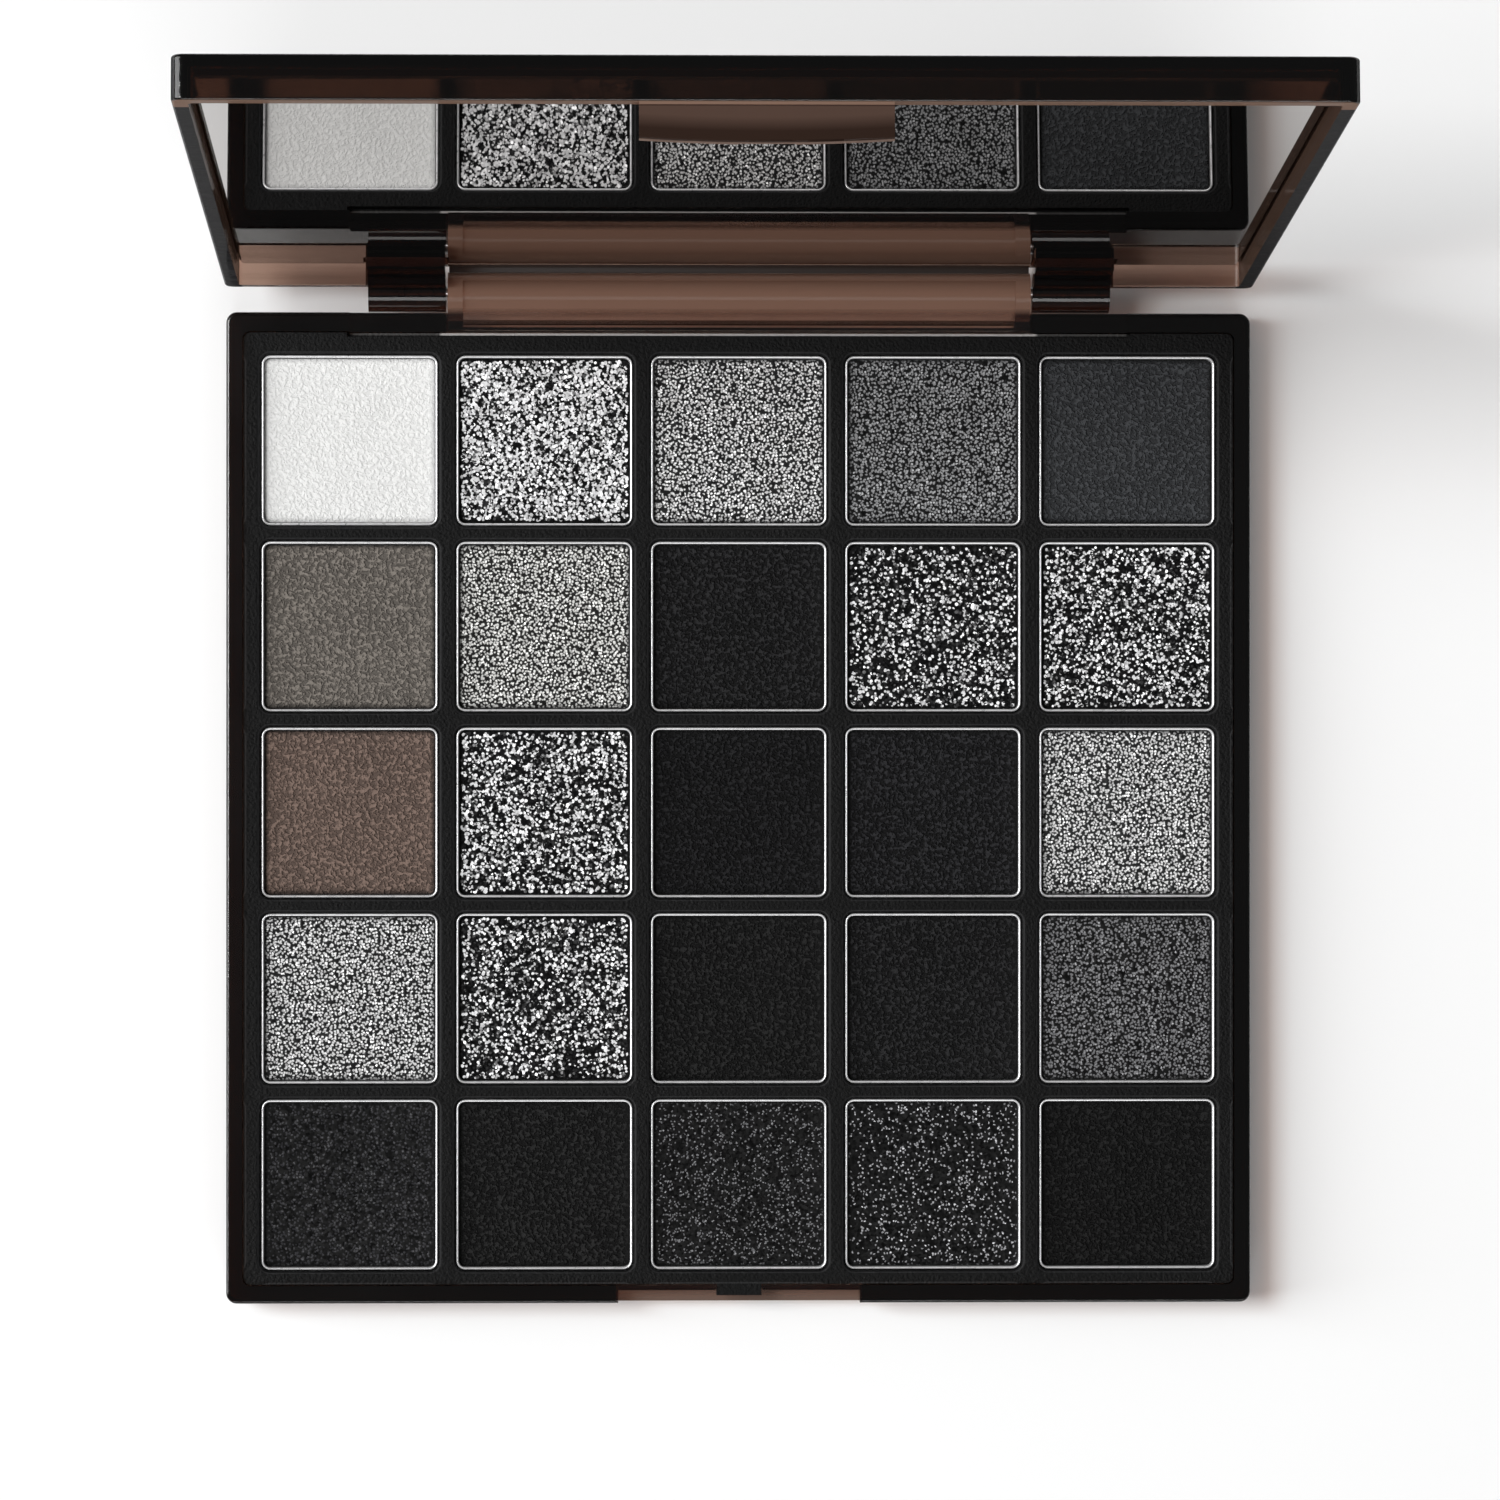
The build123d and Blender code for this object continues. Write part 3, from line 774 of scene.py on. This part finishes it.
white_pan = (1, 1)
matte_shades = [(1, 1), (1, 5), (2, 1), (2, 3), (3, 1), (3, 3), (3, 4), (4, 3), (4, 4), (5, 2), (5, 5)]
for row, column in matte_shades:
    pale = (row, column) == white_pan
    dark = colours[slots[f"powder_row{row}_col{column}"]][0] < dark_shade
    matte(row, column, 0.05 if pale else 0.75 if dark else 0.36, 0.45 if pale else 1.0)
pearl(1, 3, (1.0, 1.0, 1.0), 2.3, 0.75, 0.95, 0.30)
pearl(1, 4, (0.38, 0.385, 0.395), 2.3, 0.60, 0.96, 0.38)
pearl(2, 2, (1.0, 1.0, 0.97), 2.3, 0.70, 0.98, 0.32)
pearl(3, 5, (1.0, 1.0, 1.0), 2.3, 0.70, 0.96, 0.30)
pearl(4, 1, (1.0, 1.0, 1.0), 2.3, 0.75, 0.97, 0.30)
pearl(4, 5, (0.26, 0.26, 0.27), 2.3, 0.60, 0.90, 0.36)
pearl(5, 1, (0.040, 0.040, 0.044), 2.4, 0.50, 0.60, 0.45)
pearl(5, 3, (0.22, 0.22, 0.23), 3.0, 0.55, 0.26, 0.38)
pearl(5, 4, (0.48, 0.48, 0.50), 2.8, 0.60, 0.24, 0.30)
glitter(1, 2, 0.60, 70, 0.44, 12)
glitter(2, 4, 0.29, 70, 0.42, 24)
glitter(2, 5, 0.37, 70, 0.42, 25)
glitter(3, 2, 0.40, 70, 0.43, 32)
glitter(4, 2, 0.32, 70, 0.42, 42)

for row in range(1, 6):
    for column in range(1, 6):
        make_pan(row, column)


def make_shade_strip():
    """A thin dark strip along the back of the hinge barrel, which closes the slot between the barrel and the
    lid: a dark sheet put where the slot shows shade.
    """
    bm = bmesh.new()
    bmesh.ops.create_cube(bm, size=1.0)
    size = Matrix.Diagonal((84.8 * mm, 1.1 * mm, 0.4 * mm, 1.0))
    middle = Vector((0.0, hinge_y + 3.25 * mm, hinge_z + 1.0 * mm))
    bmesh.ops.transform(bm, matrix=Matrix.Translation(middle) @ size, verts=bm.verts)
    bmesh.ops.bevel(bm, geom=bm.edges[:], offset=0.08 * mm, segments=2, profile=0.5, affect="EDGES",
                    material=-1)
    # Painted shade: the strip's dark brown stands in for the shadow in the slot.
    lip = mottled_finish("shade strip brown", (0.022, 0.013, 0.010), 0.55)
    finish_mesh("hinge_shade_strip", bm, lip, "base")


# The dark strip in the hinge slot, standing in for its shade.
make_shade_strip()


# ---------------------------------------------------------------- floor, camera and lights

def make_floor():
    """A plain white sheet under the case."""
    material, tree, output = new_material("white floor")
    shader = add(tree, "BsdfPrincipled", {"Base Color": (0.95, 0.95, 0.95, 1.0), "Roughness": 0.6,
                                          "Specular IOR Level": 0.2})
    tree.links.new(shader.outputs[0], output.inputs["Surface"])
    bm = bmesh.new()
    bmesh.ops.create_grid(bm, x_segments=1, y_segments=1, size=3.0)
    mesh = bpy.data.meshes.new("floor")
    bm.to_mesh(mesh)
    bm.free()
    mesh.materials.append(material)
    floor = bpy.data.objects.new("floor", mesh)
    floor.location.z = base_low.z - 0.02 * mm
    bpy.context.scene.collection.objects.link(floor)


def aim(thing, place, target, up=(0, 1, 0)):
    """Puts a camera or lamp at a place, looking at a target, with its top towards up."""
    forward = (Vector(target) - Vector(place)).normalized()
    right = forward.cross(Vector(up)).normalized()
    top = right.cross(forward)
    turn = Matrix((right, top, -forward)).transposed()
    thing.matrix_world = Matrix.Translation(place) @ turn.to_4x4()


def make_lamp(name, place, width, depth, power):
    """A soft rectangular lamp that shines on the middle of the case."""
    data = bpy.data.lights.new(name, "AREA")
    data.shape = "RECTANGLE"
    data.size = width
    data.size_y = depth
    data.energy = power
    lamp = bpy.data.objects.new(name, data)
    bpy.context.scene.collection.objects.link(lamp)
    aim(lamp, place, (0, 0, 0))


def around(azimuth, height, distance):
    """A place round the case: degrees from +X, degrees above the floor, and metres away."""
    turn = math.radians(azimuth)
    rise = math.radians(height)
    level = distance * math.cos(rise)
    return level * math.cos(turn), level * math.sin(turn), distance * math.sin(rise)


def make_camera():
    """A long lens straight above the open case, a little to its left."""
    data = bpy.data.cameras.new("camera")
    data.sensor_width = 36.0
    data.lens = 171.5
    data.clip_start = 0.05
    camera = bpy.data.objects.new("camera", data)
    bpy.context.scene.collection.objects.link(camera)
    target = Vector((1.6 * mm, 8.46 * mm, base_high.z - 2.9 * mm))
    place = Vector((-25.0 * mm, 6.5 * mm, target.z + 1046 * mm))
    aim(camera, place, target)
    bpy.context.scene.camera = camera


def make_light():
    """A dim white room with three soft lamps: two from the left and one in front."""
    world = bpy.data.worlds.new("studio")
    bpy.context.scene.world = world
    world.use_nodes = True
    background = world.node_tree.nodes["Background"]
    background.inputs["Color"].default_value = (1.0, 1.0, 1.0, 1.0)
    background.inputs["Strength"].default_value = 0.13
    make_lamp("key", around(165, 62, 3.6), 1.05, 1.05, 68.0)
    make_lamp("side", around(175, 33, 3.6), 3.0, 1.7, 84.0)
    make_lamp("front", around(275, 42, 3.6), 2.6, 1.3, 36.0)


make_floor()
make_camera()
make_light()
bpy.context.scene.view_settings.view_transform = "Standard"
